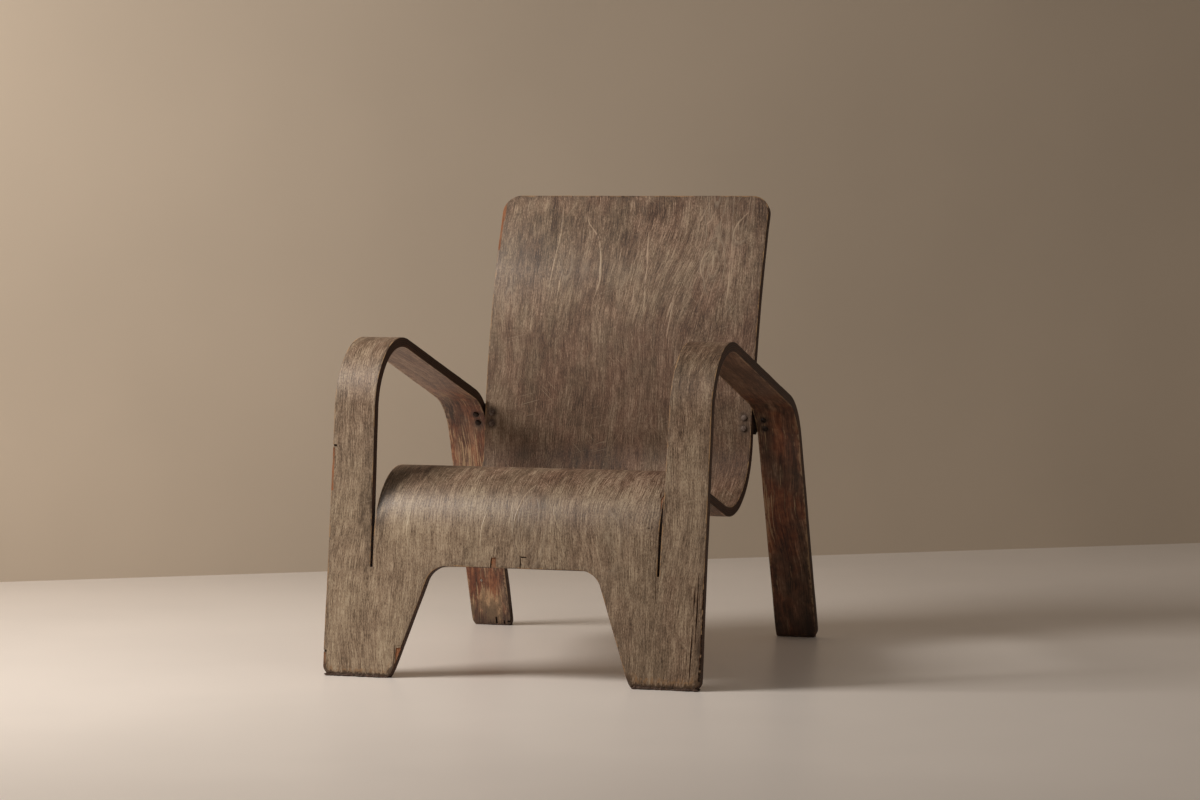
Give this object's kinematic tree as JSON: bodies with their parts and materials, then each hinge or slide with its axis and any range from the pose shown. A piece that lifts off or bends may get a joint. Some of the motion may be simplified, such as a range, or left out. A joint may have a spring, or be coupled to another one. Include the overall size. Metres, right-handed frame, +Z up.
{
  "type": "moulded plywood lounge chair",
  "caption": "Low open armchair moulded from one plywood sheet: rolled seat and curved back between side straps that form arms and legs, joined by steel brackets behind the back.",
  "frame": {"origin": "on the floor, under the middle of the chair's box", "axes": "+X across to the sitter's left, seen as right from the front; +Y from the front to the back; +Z up"},
  "size_m": [0.6446, 0.7594, 0.78],
  "materials": {
    "veneer": "weathered grey-brown veneer, dull with a soft sheen on the bends, dark worn ply edges",
    "dark_steel": "dark, dull, lightly rusted steel",
    "bright_steel": "bare steel"
  },
  "bodies": {
    "root": {"plywood_shell": "veneer", "bracket_left": "dark_steel", "bracket_right": "dark_steel", "bolt_back_upper_left": "dark_steel", "washer_back_upper_left": "dark_steel", "nut_back_upper_left": "dark_steel", "bolt_back_lower_left": "dark_steel", "washer_back_lower_left": "dark_steel", "nut_back_lower_left": "dark_steel", "bolt_strap_upper_left": "dark_steel", "washer_strap_upper_left": "dark_steel", "nut_strap_upper_left": "dark_steel", "bolt_strap_lower_left": "dark_steel", "washer_strap_lower_left": "dark_steel", "nut_strap_lower_left": "dark_steel", "bolt_back_upper_right": "dark_steel", "washer_back_upper_right": "dark_steel", "nut_back_upper_right": "dark_steel", "bolt_back_lower_right": "dark_steel", "washer_back_lower_right": "dark_steel", "nut_back_lower_right": "dark_steel", "bolt_strap_upper_right": "dark_steel", "washer_strap_upper_right": "dark_steel", "nut_strap_upper_right": "dark_steel", "bolt_strap_lower_right": "dark_steel", "washer_strap_lower_right": "dark_steel", "nut_strap_lower_right": "dark_steel", "leg_pin": "bright_steel"}
  },
  "joints": []
}
